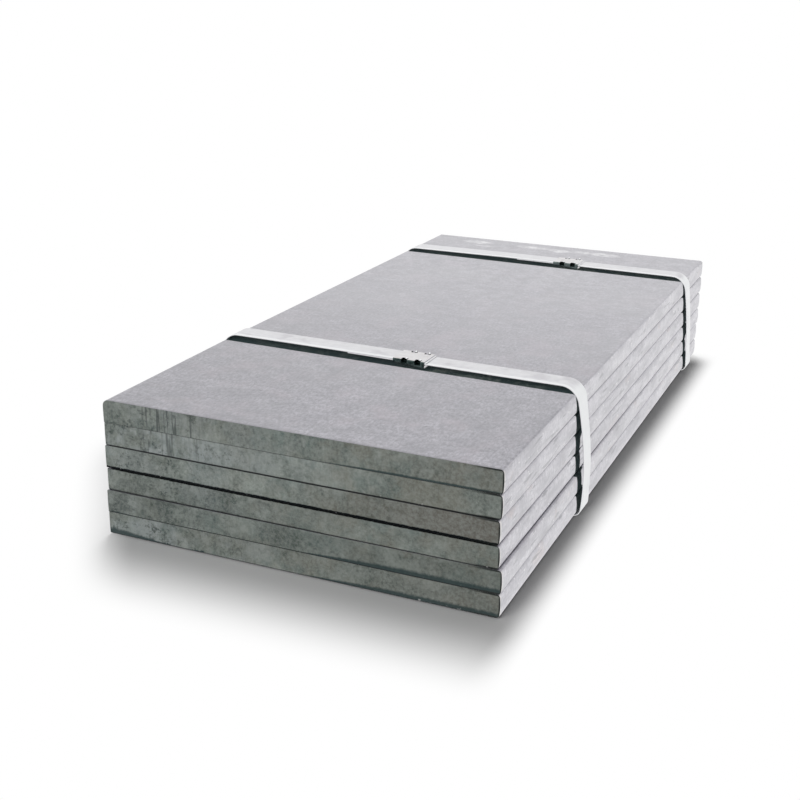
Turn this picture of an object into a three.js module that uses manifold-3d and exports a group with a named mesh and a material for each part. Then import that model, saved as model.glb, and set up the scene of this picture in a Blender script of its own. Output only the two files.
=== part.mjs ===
// A strapped stack of six steel plates, in millimetres, +Z up.
//
// Wide flat bars, rolled with crowned long edges and cut to length, lie one on another.
// Two steel straps go round the stack. Each strap's ends lap on top of the stack, inside
// a sleeve seal that is crimped by two pairs of notches.
// X runs across the plates and Y along them. The origin is in the middle of the footprint,
// on the floor.

import * as THREE from "three";
import { mergeVertices } from "three/addons/utils/BufferGeometryUtils.js";
import Module from "manifold-3d";

const wasm = await Module();
wasm.setup();

// ---- Driving dimensions: plates ----
const PLATE_COUNT = 6;
const PLATE_WIDTH = 440; // over the crowned edges
const PLATE_LENGTH = 940;
const PLATE_THICKNESS = 25;
const EDGE_RADIUS = 3; // rounding of the four long corners
const EDGE_CROWN = 1; // how far the long edge bulges at mid thickness
const END_BEVEL = 0.8; // dressed corner of the cut ends
const SIDE_SHIFTS = [0, -0.5, -1.5, -1.3, 2, 1.2]; // front ends, from the top plate down
const REAR_SIDE_SHIFTS = [0, 0.2, 0.3, 0.2, -0.5, -0.4]; // rear ends: the plates lie askew
const END_SHIFTS = [0, 0.7, -0.5, 0.9, -0.6, 0.3]; // lengthways, from the top plate down
const SEAT_GAP = 0.3; // between faces that rest on each other

// ---- Driving dimensions: straps ----
const STRAP_WIDTH = 32;
const STRAP_THICKNESS = 1;
const TAIL_LENGTH = 58; // lower strap end, past the seal
const LAP_SETBACK = 1.5; // upper strap end, short of the seal's end

// A strap has sprung away from the stack: it lifts over the top, leans out from the corner
// that it touches, bows away down the side, tucks in towards the foot of the stack and
// turns under it. A skew strap runs this far along the stack for each millimetre across it,
// and slants along the stack on its way down the right-hand side.
const FOOT_RADIUS = 8.5; // inner face, where the strap turns under the stack
const FRONT_SETBACK = 252; // from the stack's front end to the middle of the strap
const FRONT_BEND_RADIUS = 20; // inner face, at the stack's top corners
const FRONT_SKEW = 0.026;
const FRONT_SLANT = 28;
const FRONT_LIFT = 7;
const FRONT_LEFT_DROP = 0.6; // the lift is less by this at the left-hand corner
const FRONT_LEAN_ANGLE = 8;
const FRONT_TUCK_ANGLE = 8;
const REAR_SETBACK = 134; // from the stack's rear end
const REAR_BEND_RADIUS = 19;
const REAR_SKEW = 0.019;
const REAR_SLANT = 62;
const REAR_LIFT = 6;
const REAR_LEFT_DROP = 1.6;
const REAR_LEAN_ANGLE = 5;
const REAR_TUCK_ANGLE = 1;
const LEFT_LEAN_ANGLE = 3; // both straps, on the left side
const LEFT_TUCK_ANGLE = 8;

// ---- Driving dimensions: seals ----
const FRONT_SEAL_OFFSET = 24.5; // to the right of the stack's middle
const REAR_SEAL_OFFSET = 43;
const SEAL_LENGTH = 40;
const SEAL_THICKNESS = 1;
const SEAL_CLEARANCE = 0.3; // between the sleeve and the strap inside it
const SEAL_FOLD_RADIUS = 0.6; // inner face of the sleeve's folds
const FLANGE_LENGTH = 13; // part of the sleeve folded under the strap
const NOTCH_PITCH = 16.5;
const NOTCH_SHIFT = 2; // to the right of the seal's middle
const NOTCH_LENGTH = 7;
const NOTCH_DEPTH = 5.5;
const NOTCH_TAPER = 1.2; // each end of the notch leans in by this much
const TAB_LENGTH = 1.6; // straight part of a turned-up tab
const TAB_ANGLE = 48;
const TAB_BEND_RADIUS = 0.8; // inner face

const STRAPS = [
  {
    name: "front",
    middle: FRONT_SETBACK - PLATE_LENGTH / 2,
    radius: FRONT_BEND_RADIUS,
    skew: FRONT_SKEW,
    slant: FRONT_SLANT,
    lift: FRONT_LIFT,
    drop: FRONT_LEFT_DROP,
    lean: FRONT_LEAN_ANGLE,
    tuck: FRONT_TUCK_ANGLE,
    seal: FRONT_SEAL_OFFSET,
  },
  {
    name: "rear",
    middle: PLATE_LENGTH / 2 - REAR_SETBACK,
    radius: REAR_BEND_RADIUS,
    skew: REAR_SKEW,
    slant: REAR_SLANT,
    lift: REAR_LIFT,
    drop: REAR_LEFT_DROP,
    lean: REAR_LEAN_ANGLE,
    tuck: REAR_TUCK_ANGLE,
    seal: REAR_SEAL_OFFSET,
  },
];

// ---- Drawing precision ----
const EDGE_FACETS = 4;
const LENGTH_STATIONS = 12;
const BEND_FACETS = 10;
const SIDE_FACETS = 10;
const FOLD_FACETS = 3;

// ---- Levels of the stack ----
const BOTTOM_LEVEL = STRAP_THICKNESS + SEAT_GAP;
const PLATE_PITCH = PLATE_THICKNESS + SEAT_GAP;
const TOP_LEVEL = BOTTOM_LEVEL + PLATE_COUNT * PLATE_PITCH - SEAT_GAP;

const radians = THREE.MathUtils.degToRad;
const shiftOf = (shifts, index) => shifts[index % shifts.length];

/** How far a plate lies to the right at this distance along the stack from its middle. */
function sideShift(index, along) {
  const share = along / PLATE_LENGTH + 0.5; // 0 at the front end, 1 at the rear end
  return THREE.MathUtils.lerp(
    shiftOf(SIDE_SHIFTS, index), shiftOf(REAR_SIDE_SHIFTS, index), share);
}

// A shape drawn in x and y is stood up: across the stack, or lengthways along it.
const ACROSS = new THREE.Matrix4().makeBasis(
  new THREE.Vector3(1, 0, 0), new THREE.Vector3(0, 0, 1), new THREE.Vector3(0, -1, 0));
const ALONG_X = new THREE.Matrix4().makeBasis(
  new THREE.Vector3(0, 1, 0), new THREE.Vector3(0, 0, 1), new THREE.Vector3(1, 0, 0));

/** Extrude a shape by a length, centred on its own plane, and stand it up. */
function extrudeCentred(shape, length, basis, options = {}) {
  const bevel = options.bevelThickness ?? 0;
  const geometry = new THREE.ExtrudeGeometry(shape, {
    depth: length - 2 * bevel,
    bevelEnabled: bevel > 0,
    ...options,
  });
  geometry.translate(0, 0, bevel - length / 2);
  return geometry.applyMatrix4(basis);
}

/** Points of an arc, angles in degrees. */
function arcPoints(centre, radius, from, to, facets) {
  const points = [];
  for (let i = 0; i <= facets; i++) {
    const angle = radians(from + ((to - from) * i) / facets);
    points.push(new THREE.Vector2(
      centre.x + radius * Math.cos(angle), centre.y + radius * Math.sin(angle)));
  }
  return points;
}

/** Outline of a sheet whose one face follows the points and whose other lies to their left. */
function sheetOutline(points, thickness) {
  const otherFace = points.map((point, i) => {
    const before = points[Math.max(i - 1, 0)];
    const after = points[Math.min(i + 1, points.length - 1)];
    const along = after.clone().sub(before).normalize();
    return new THREE.Vector2(point.x - along.y * thickness, point.y + along.x * thickness);
  });
  return new THREE.Shape([...points, ...otherFace.reverse()]);
}

// ---- Solids for joining and cutting ----
function toSolid(geometry) {
  const bare = new THREE.BufferGeometry();
  bare.setAttribute("position", geometry.getAttribute("position"));
  if (geometry.index) bare.setIndex(geometry.index);
  const merged = mergeVertices(bare);
  return new wasm.Manifold(new wasm.Mesh({
    numProp: 3,
    vertProperties: new Float32Array(merged.getAttribute("position").array),
    triVerts: new Uint32Array(merged.index.array),
  }));
}

function toGeometry(solid) {
  const mesh = solid.getMesh();
  const geometry = new THREE.BufferGeometry();
  geometry.setAttribute("position", new THREE.BufferAttribute(mesh.vertProperties, 3));
  geometry.setIndex(new THREE.BufferAttribute(mesh.triVerts, 1));
  return geometry;
}

// ---- Plates ----
function plateSection() {
  const half = PLATE_WIDTH / 2;
  const face = half - EDGE_CROWN; // where the crown starts, above and below
  const flat = face - EDGE_RADIUS;
  const top = PLATE_THICKNESS - EDGE_RADIUS;
  const middle = PLATE_THICKNESS / 2;
  const turn = Math.PI / 2;
  const shape = new THREE.Shape();
  shape.moveTo(-flat, 0);
  shape.lineTo(flat, 0);
  shape.absarc(flat, EDGE_RADIUS, EDGE_RADIUS, -turn, 0);
  shape.quadraticCurveTo(half + EDGE_CROWN, middle, face, top);
  shape.absarc(flat, top, EDGE_RADIUS, 0, turn);
  shape.lineTo(-flat, PLATE_THICKNESS);
  shape.absarc(-flat, top, EDGE_RADIUS, turn, 2 * turn);
  shape.quadraticCurveTo(-half - EDGE_CROWN, middle, -face, EDGE_RADIUS);
  shape.absarc(-flat, EDGE_RADIUS, EDGE_RADIUS, 2 * turn, 3 * turn);
  return shape;
}

function makePlate(index) {
  const askew = sideShift(index, -PLATE_LENGTH / 2) - sideShift(index, PLATE_LENGTH / 2);
  const plate = extrudeCentred(plateSection(), PLATE_LENGTH, ACROSS, {
    bevelThickness: END_BEVEL,
    bevelSize: END_BEVEL,
    bevelOffset: -END_BEVEL,
    bevelSegments: 1,
    curveSegments: EDGE_FACETS,
    steps: LENGTH_STATIONS,
  });
  return plate.rotateZ(Math.asin(askew / PLATE_LENGTH));
}

// ---- Straps ----
const upperLift = (strap) => strap.lift + STRAP_THICKNESS + SEAT_GAP;

/** Inner face of a strap round the right-hand side, from the top run to the bottom run. */
function sideRun({ radius, lift, lean, tuck, topShift, bottomShift }) {
  const round = EDGE_CROWN + EDGE_RADIUS; // from a plate's outermost point to its flat face
  const reach = radius - EDGE_RADIUS - SEAT_GAP;
  const fall = radius - EDGE_RADIUS - lift;
  const bend = new THREE.Vector2(
    PLATE_WIDTH / 2 + topShift - round - Math.sqrt(reach ** 2 - fall ** 2),
    TOP_LEVEL + lift - radius);
  const corner = arcPoints(bend, radius, 90, lean, BEND_FACETS);

  const foot = new THREE.Vector2(
    PLATE_WIDTH / 2 + bottomShift - round, STRAP_THICKNESS + FOOT_RADIUS);
  const heel = arcPoints(foot, FOOT_RADIUS, -tuck, -90, BEND_FACETS);

  const start = corner.at(-1);
  const pull = (start.y - heel[0].y) / 3;
  const run = new THREE.CubicBezierCurve(
    start,
    new THREE.Vector2(start.x + pull * Math.tan(radians(lean)), start.y - pull),
    new THREE.Vector2(heel[0].x + pull * Math.tan(radians(tuck)), heel[0].y + pull),
    heel[0]);
  return [...corner, ...run.getPoints(SIDE_FACETS).slice(1, -1), ...heel];
}

/** Inner face of a whole strap: from its lower end, clockwise round to its upper end. */
function strapPath(strap) {
  const topShift = sideShift(0, strap.middle);
  const bottomShift = sideShift(PLATE_COUNT - 1, strap.middle);
  const right = sideRun({ ...strap, topShift, bottomShift });
  const left = sideRun({
    radius: strap.radius,
    lift: upperLift(strap) - strap.drop,
    lean: LEFT_LEAN_ANGLE,
    tuck: LEFT_TUCK_ANGLE,
    topShift: -topShift,
    bottomShift: -bottomShift,
  }).map((point) => new THREE.Vector2(-point.x, point.y)).reverse();
  const tailEnd = strap.seal - SEAL_LENGTH / 2 - TAIL_LENGTH;
  const lapEnd = strap.seal + SEAL_LENGTH / 2 - LAP_SETBACK;
  const lapLevel = TOP_LEVEL + upperLift(strap);
  return [
    new THREE.Vector2(tailEnd, TOP_LEVEL + strap.lift),
    ...right,
    ...left,
    new THREE.Vector2(tailEnd - STRAP_WIDTH / 2, lapLevel), // level over the lower end
    new THREE.Vector2(lapEnd, lapLevel),
  ];
}

/** Set a piece where its strap crosses the stack, with the strap's skew and slant. */
function placeOnStack(geometry, strap) {
  const points = geometry.getAttribute("position");
  for (let i = 0; i < points.count; i++) {
    const x = points.getX(i);
    const across = x / PLATE_WIDTH + 0.5; // 0 at the left side, 1 at the right
    const down = Math.max(1 - points.getZ(i) / TOP_LEVEL, 0); // 0 at the top, 1 on the floor
    const along = strap.middle - strap.skew * x + strap.slant * across * down;
    points.setY(i, points.getY(i) + along);
  }
  geometry.computeVertexNormals();
  return geometry;
}

/** Do something for each of a seal's notches: side is -1 or 1, end is -1 or 1. */
function eachNotch(make) {
  return [-1, 1].flatMap((side) => [-1, 1].map((end) => make(side, end)));
}

/** Middle of a notch, across the stack. */
const notchPlace = (strap, end) => strap.seal + NOTCH_SHIFT + (end * NOTCH_PITCH) / 2;

/** The cuts that the crimping tool makes through both strap ends and the sleeve. */
function notchCuts(strap) {
  const edge = STRAP_WIDTH / 2 + SEAL_CLEARANCE + SEAL_THICKNESS;
  const outside = edge + SEAL_THICKNESS; // the cut runs out past the sleeve
  const inside = edge - NOTCH_DEPTH;
  const half = NOTCH_LENGTH / 2;
  const height = 4 * (STRAP_THICKNESS + SEAL_THICKNESS + SEAT_GAP);
  return wasm.Manifold.union(eachNotch((side, end) => {
    const plan = new THREE.Shape([
      new THREE.Vector2(-half, side * outside),
      new THREE.Vector2(half, side * outside),
      new THREE.Vector2(half - NOTCH_TAPER, side * inside),
      new THREE.Vector2(NOTCH_TAPER - half, side * inside),
    ]);
    const cut = new THREE.ExtrudeGeometry(plan, { depth: height, bevelEnabled: false });
    cut.translate(
      notchPlace(strap, end), 0, TOP_LEVEL + upperLift(strap) - height / 2);
    return toSolid(cut);
  }));
}

function makeStrap(strap) {
  const outline = sheetOutline(strapPath(strap), STRAP_THICKNESS);
  const band = toSolid(extrudeCentred(outline, STRAP_WIDTH, ACROSS));
  return placeOnStack(toGeometry(band.subtract(notchCuts(strap))), strap);
}

// ---- Seals ----
/** The sleeve's section, from the end of one flange round to the end of the other. */
function sleeveSection() {
  const half = STRAP_WIDTH / 2 + SEAL_CLEARANCE;
  const low = -SEAL_CLEARANCE;
  const high = 2 * STRAP_THICKNESS + SEAT_GAP + SEAL_CLEARANCE;
  const r = SEAL_FOLD_RADIUS;
  const fold = (x, y, from) =>
    arcPoints(new THREE.Vector2(x, y), r, from, from - 90, FOLD_FACETS);
  return sheetOutline([
    new THREE.Vector2(FLANGE_LENGTH - half, low),
    ...fold(r - half, low + r, 270),
    ...fold(r - half, high - r, 180),
    ...fold(half - r, high - r, 90),
    ...fold(half - r, low + r, 0),
    new THREE.Vector2(half - FLANGE_LENGTH, low),
  ], SEAL_THICKNESS);
}

/** A tab of the sleeve's top sheet, turned up where the notch ends. */
function tabSection() {
  const outer = TAB_BEND_RADIUS + SEAL_THICKNESS; // the sheet's underside, on the bend
  const turned = arcPoints(
    new THREE.Vector2(0, outer), outer, -90, -90 - TAB_ANGLE, FOLD_FACETS);
  const slope = radians(TAB_ANGLE);
  const rise = new THREE.Vector2(-Math.cos(slope), Math.sin(slope));
  const tip = turned.at(-1).clone().addScaledVector(rise, TAB_LENGTH);
  const root = new THREE.Vector2(SEAL_THICKNESS, 0); // laps into the sheet beside the notch
  return sheetOutline([tip, ...turned.reverse(), root], SEAL_THICKNESS);
}

function makeSeal(strap) {
  const sleeve = extrudeCentred(sleeveSection(), SEAL_LENGTH, ALONG_X);
  sleeve.translate(strap.seal, 0, TOP_LEVEL + strap.lift);

  const sheetLevel = TOP_LEVEL + upperLift(strap) + STRAP_THICKNESS + SEAL_CLEARANCE;
  const flatEdge = STRAP_WIDTH / 2 + SEAL_CLEARANCE - SEAL_FOLD_RADIUS;
  const tabWidth = NOTCH_DEPTH - SEAL_THICKNESS - SEAL_FOLD_RADIUS;
  const tabs = eachNotch((side, end) => {
    const tab = extrudeCentred(tabSection(), tabWidth, ACROSS);
    tab.translate(
      notchPlace(strap, end) + NOTCH_LENGTH / 2,
      side * (flatEdge - tabWidth / 2),
      sheetLevel);
    return toSolid(tab);
  });
  const notched = toSolid(sleeve).subtract(notchCuts(strap));
  return placeOnStack(toGeometry(wasm.Manifold.union([notched, ...tabs])), strap);
}

// ---- Finishes ----
const finishes = {
  plate: { color: 0x9b9aa0, roughness: 0.55, metalness: 0.7 },
  strap: { color: 0xd9dde0, roughness: 0.32, metalness: 0.85 },
  seal: { color: 0xc9c6c6, roughness: 0.38, metalness: 0.85 },
};

function makeMesh(name, geometry, finish) {
  const mesh = new THREE.Mesh(geometry, new THREE.MeshStandardMaterial(finishes[finish]));
  mesh.name = name;
  return mesh;
}

// ---- Assembly ----
const stack = new THREE.Group();
for (let i = 0; i < PLATE_COUNT; i++) {
  const plate = makeMesh(`plate_${i + 1}`, makePlate(i), "plate");
  plate.position.set(
    sideShift(i, 0),
    shiftOf(END_SHIFTS, i),
    TOP_LEVEL - PLATE_THICKNESS - i * PLATE_PITCH);
  stack.add(plate);
}
for (const strap of STRAPS) {
  stack.add(makeMesh(`strap_${strap.name}`, makeStrap(strap), "strap"));
  stack.add(makeMesh(`seal_${strap.name}`, makeSeal(strap), "seal"));
}

// The footprint is centred on the origin.
const footprint = new THREE.Box3().setFromObject(stack).getCenter(new THREE.Vector3());
stack.position.set(-footprint.x, -footprint.y, 0);
const group = new THREE.Group();
group.add(stack);

export default group;
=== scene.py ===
# %% [markdown]
# # A strapped stack of steel plates
#
# Six wide flat bars of steel lie one on another. Two steel straps hold them, and each
# strap is closed on top by a sleeve seal that was crimped with a notching tool.
#
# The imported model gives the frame: where each plate and strap is. This script dresses it.
# Every plate, strap and seal gets a finer mesh that replaces the plain one, and a finish
# that is worked out from where a point is, not from a picture. All sizes are in metres.

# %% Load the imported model
import math

import bmesh
import bpy
from mathutils import Matrix, Vector, noise


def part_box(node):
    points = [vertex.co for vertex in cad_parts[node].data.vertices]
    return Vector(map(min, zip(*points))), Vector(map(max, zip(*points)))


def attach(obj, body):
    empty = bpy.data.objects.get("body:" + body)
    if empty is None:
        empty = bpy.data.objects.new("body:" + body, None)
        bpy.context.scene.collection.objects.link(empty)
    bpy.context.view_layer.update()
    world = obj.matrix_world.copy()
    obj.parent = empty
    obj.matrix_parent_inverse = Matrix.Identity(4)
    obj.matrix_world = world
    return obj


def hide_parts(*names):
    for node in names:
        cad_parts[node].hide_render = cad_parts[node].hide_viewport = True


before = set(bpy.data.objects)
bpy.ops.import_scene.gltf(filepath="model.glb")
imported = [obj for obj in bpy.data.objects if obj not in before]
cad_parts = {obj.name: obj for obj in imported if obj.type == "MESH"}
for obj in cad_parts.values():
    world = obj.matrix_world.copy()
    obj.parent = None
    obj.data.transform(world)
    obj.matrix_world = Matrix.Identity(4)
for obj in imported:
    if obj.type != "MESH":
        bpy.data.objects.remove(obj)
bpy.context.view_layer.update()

MM = 0.001
print("nodes:", sorted(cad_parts))

# %% [markdown]
# ## The stack as it is packed
#
# Nothing is measured twice. Each plate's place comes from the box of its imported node, and
# the straps and seals are drawn again from the few sizes that their makers would give:
# width, thickness, the radius of the bend, and how far the strap has sprung away.

# %% Read the plates' places
PLATE_COUNT = 6
plate_boxes = [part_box(f"plate_{n}") for n in range(1, PLATE_COUNT + 1)]
top_level = plate_boxes[0][1][2]
stack_shift = Vector([
    (plate_boxes[0][0][axis] + plate_boxes[0][1][axis]) / 2 for axis in (0, 1)])
print("top of the stack:", round(top_level, 4), "stack shift:", stack_shift)

# %% Note the sizes of plates, straps and seals
PLATE_WIDTH, PLATE_LENGTH, PLATE_THICKNESS = 440 * MM, 940 * MM, 25 * MM
EDGE_RADIUS, EDGE_CROWN = 3 * MM, 1 * MM
SEAT_GAP = 0.3 * MM
STRAP_WIDTH, STRAP_THICKNESS = 32 * MM, 1 * MM
FOOT_RADIUS = 8.5 * MM
TAIL_LENGTH, LAP_REACH = 58 * MM, 1 * MM  # how far each end runs on past the seal
SEAL_LENGTH, SEAL_THICKNESS, SEAL_CLEARANCE = 40 * MM, 1 * MM, 0.3 * MM
NOTCH_PITCH, NOTCH_SHIFT, NOTCH_LENGTH = 16.5 * MM, 2 * MM, 7 * MM
NOTCH_DEPTH, NOTCH_TAPER = 5.5 * MM, 1.2 * MM

# A strap runs askew over the top (skew) and rearwards down its right side (slant). It
# stands off the top (lift), sinks a little from its lap to its left bend (drop), leans out
# from the top corner and back in at the foot (lean and tuck, in degrees), and carries its
# seal right of the stack's middle (seal). Down the side, the painted shade under its far
# part is left out between two heights (the last entry), where light gets in under it.
STRAPS = {
    "front": dict(
        middle=252 * MM - PLATE_LENGTH / 2, radius=20 * MM, skew=0.026, slant=28 * MM,
        lift=7 * MM, drop=0.6 * MM, lean=8, tuck=8, seal=24.5 * MM, dry=(30 * MM, 96 * MM)),
    "rear": dict(
        middle=PLATE_LENGTH / 2 - 134 * MM, radius=19 * MM, skew=0.019, slant=62 * MM,
        lift=6 * MM, drop=1.6 * MM, lean=5, tuck=1, seal=43 * MM, dry=(27 * MM, 58 * MM)),
}
LEFT_LEAN, LEFT_TUCK = 3, 8

# How much further right a plate's front end lies than its rear end, from the top plate down.
PLATE_SKEWS = [n * MM for n in (0, -0.7, -1.8, -1.5, 2.5, 1.6)]
print("a strap is", STRAP_WIDTH, "wide; a seal is", SEAL_LENGTH, "long")

# %% [markdown]
# ## Camera
#
# The camera stands a little above the stack's near right corner and looks across it. Its
# direction is written as a turn, a tilt and a roll, and its three axes are worked out from
# them, so that it can be checked against the stack's own axes.

# %% Place the camera
CAMERA_PLACE = stack_shift.to_3d() + Vector((0.5418, -1.4524, 0.5795))
CAMERA_TURN, CAMERA_TILT, CAMERA_ROLL = (math.radians(a) for a in (-23.439, 19.331, 0.831))
CAMERA_LENS, CAMERA_SENSOR = 55.58, 36


def link(name, data):
    """A new object in the scene, at the origin."""
    piece = bpy.data.objects.new(name, data)
    bpy.context.scene.collection.objects.link(piece)
    return piece


look = Vector((
    math.sin(CAMERA_TURN) * math.cos(CAMERA_TILT),
    math.cos(CAMERA_TURN) * math.cos(CAMERA_TILT),
    -math.sin(CAMERA_TILT)))
level_right = Vector((math.cos(CAMERA_TURN), -math.sin(CAMERA_TURN), 0))
level_up = level_right.cross(look)
right = math.cos(CAMERA_ROLL) * level_right + math.sin(CAMERA_ROLL) * level_up
up = math.cos(CAMERA_ROLL) * level_up - math.sin(CAMERA_ROLL) * level_right

camera_data = bpy.data.cameras.new("camera")
camera_data.lens = CAMERA_LENS
camera_data.sensor_width = CAMERA_SENSOR
camera = link("camera", camera_data)
axes = Matrix((right, up, -look)).transposed().to_4x4()
camera.matrix_world = Matrix.Translation(CAMERA_PLACE) @ axes
bpy.context.scene.camera = camera
print("camera looks along", tuple(round(v, 4) for v in look))

# %% [markdown]
# ## Sums on sockets
#
# A finish or a shape rule is mostly arithmetic, and arithmetic is easier to read as an
# expression than as a list of nodes. `Wire` wraps one socket: adding, multiplying or
# comparing wires adds the Math node that does it, so each of these methods is made by the
# same function. `Recipe` wraps a tree and has the one method that adds any other node. The
# same two classes serve materials and shapes.

# %% Define wires
def sum_of(operation, swapped=False):
    """A method that adds a Math node, or a Vector Math node if a vector takes part."""
    def method(self, *others):
        values = (*others, self) if swapped else (self, *others)
        vectors = [v for v in values if isinstance(v, Wire) and v.socket.type == "VECTOR"]
        kind = "ShaderNodeVectorMath" if vectors else "ShaderNodeMath"
        return self.recipe.node(kind, {"operation": operation}, dict(enumerate(values)))
    return method


class Wire:
    """One socket of a recipe, for use in sums."""

    def __init__(self, recipe, socket):
        self.recipe, self.socket = recipe, socket

    __add__, __radd__ = sum_of("ADD"), sum_of("ADD", swapped=True)
    __sub__, __rsub__ = sum_of("SUBTRACT"), sum_of("SUBTRACT", swapped=True)
    __mul__, __rmul__ = sum_of("MULTIPLY"), sum_of("MULTIPLY", swapped=True)
    __truediv__, __pow__, __abs__ = sum_of("DIVIDE"), sum_of("POWER"), sum_of("ABSOLUTE")
    sign, sin, cos = sum_of("SIGN"), sum_of("SINE"), sum_of("COSINE")
    most, least = sum_of("MAXIMUM"), sum_of("MINIMUM")

    def __neg__(self):
        return self * -1

    def within(self, low, high):
        return self.most(low).least(high)

    def rise(self, start, end):
        """0 below start, 1 above end, and a smooth step between; falls if end < start."""
        return self.recipe.node(
            "ShaderNodeMapRange", {"interpolation_type": "SMOOTHSTEP"},
            {0: self, 1: start, 2: end, 3: 0, 4: 1})

    def near(self, value, width, blur):
        """1 within width of a value, fading to 0 over the blur."""
        return abs(self - value).rise(width + blur, width)

    def parts(self):
        """The x, y and z of a vector."""
        split = self.recipe.node("ShaderNodeSeparateXYZ", {}, {0: self}).socket.node
        return [Wire(self.recipe, socket) for socket in split.outputs]


print("a wire can add, subtract, multiply, divide, compare and fade")


# %% Define recipes
class Recipe:
    """A node tree, and the one way to add a node to it."""

    def __init__(self, tree):
        self.tree = tree

    def node(self, kind, settings=None, inputs=None, output=0):
        node = self.tree.nodes.new(kind)
        for name, value in (settings or {}).items():
            if name == "stops":
                self.set_stops(node.color_ramp, value)
            else:
                setattr(node, name, value)
        for key, value in (inputs or {}).items():
            self.feed(node.inputs[key], value)
        return Wire(self, node.outputs[output]) if node.outputs else node

    def feed(self, socket, value):
        if isinstance(value, Wire):
            self.tree.links.new(value.socket, socket)
        elif socket.type == "VECTOR" and isinstance(value, (int, float)):
            socket.default_value = (value, value, value)
        else:
            socket.default_value = value

    @staticmethod
    def set_stops(ramp, stops):
        while len(ramp.elements) < len(stops):
            ramp.elements.new(1)
        for element, (position, colour) in zip(ramp.elements, stops):
            element.position = position
            element.color = (*colour, 1)

    def join(self, x, y, z):
        return self.node("ShaderNodeCombineXYZ", {}, {0: x, 1: y, 2: z})

    def noise(self, place, scale, detail=2, roughness=0.5, stretch=(1, 1, 1)):
        """Soft noise from about 0.3 to 0.7, around a middle of 0.5."""
        return self.node(
            "ShaderNodeTexNoise", {},
            {"Vector": place * self.join(*stretch), "Scale": scale, "Detail": detail,
             "Roughness": roughness})

    def mix(self, amount, base, other):
        """Mix two colours; each is a wire or three numbers."""
        full = [(*c, 1) if isinstance(c, tuple) else c for c in (base, other)]
        return self.node(
            "ShaderNodeMix", {"data_type": "RGBA"},
            {0: amount, 6: full[0], 7: full[1]}, output=2)


print("a recipe can add nodes, join a vector, make noise and mix colours")

# %% [markdown]
# ## Where a point is
#
# The marks on a stack depend on the place: beside a strap, near an edge, on a cut end. A
# painted picture could hold them, but it would need a map for each piece and would blur
# close up. So every finish here is worked out from a point's own place, with noise for
# what is irregular. These helpers measure from the straps. They take wires, so the shape
# rules can use them too.

# %% Measure from the straps
def slant_share(x, z):
    """How much of a strap's slant a point has: none on top, all at the right-hand foot."""
    return (x / PLATE_WIDTH + 0.5) * (1 - z / top_level).most(0)


def beside_strap(strap, place):
    """How far a point is past a strap's near edge, along the stack."""
    x, y, z = place.parts()
    x = x - stack_shift.x
    line = strap["middle"] + stack_shift.y - STRAP_WIDTH / 2
    return y + strap["skew"] * x - strap["slant"] * slant_share(x, z) - line


def beside_seal(strap, place):
    """How far a point is from the middle of a strap's seal, along and across the strap."""
    x = place.parts()[0]
    return (x - (stack_shift.x + strap["seal"]),
            abs(beside_strap(strap, place) - STRAP_WIDTH / 2))


print("straps cross the stack at y =", [round(s["middle"], 3) for s in STRAPS.values()])

# %% [markdown]
# ## What the finishes share
#
# Bare metal is one principled shader. Painted shade is matt, and a dark metal would still
# mirror the room, so where shade is painted a second shader covers the first. No two plates
# look alike: lists give each plate its own amounts, and a finish looks them up by the
# plate's number.

# %% Start a finish
RAMP_PLACES = 8  # room on the ramp for at least as many values as there are plates


def new_finish(name):
    """A material with one principled shader."""
    material = bpy.data.materials.new(name)
    material.use_nodes = True
    return material, Recipe(material.node_tree), material.node_tree.nodes["Principled BSDF"]


def roughen(recipe, shader, height, strength, depth):
    """Let the surface catch the light as if it were raised and sunk by this much."""
    bump = recipe.node(
        "ShaderNodeBump", {},
        {"Strength": strength, "Distance": depth, "Height": height}, output="Normal")
    recipe.feed(shader.inputs["Normal"], bump)


def mix_shaders(recipe, amount, first, second):
    """The first shader where the amount is 0, the second where it is 1."""
    return recipe.node("ShaderNodeMixShader", {}, {0: amount, 1: first, 2: second})


def paint_shade_over(recipe, shader, amount, colour, shine):
    """Cover the metal with a matt shader where shade is painted."""
    matt = recipe.node("ShaderNodeBsdfPrincipled", {}, {
        "Base Color": colour, "Roughness": 0.9, "Specular IOR Level": shine})
    dressed = mix_shaders(recipe, amount, Wire(recipe, shader.outputs[0]), matt)
    recipe.feed(recipe.tree.nodes["Material Output"].inputs["Surface"], dressed)


def per_plate(recipe, number, values):
    """A value for each plate, looked up by the plate's number."""
    stops = [((n - 0.5) / RAMP_PLACES, (value,) * 3)
             for n, value in enumerate(values, start=1)]
    return recipe.node(
        "ShaderNodeValToRGB", {"stops": stops},
        {0: (number - 0.5) / RAMP_PLACES}).parts()[0]


print("finishes start from a principled shader with", RAMP_PLACES, "places for plates")
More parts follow.
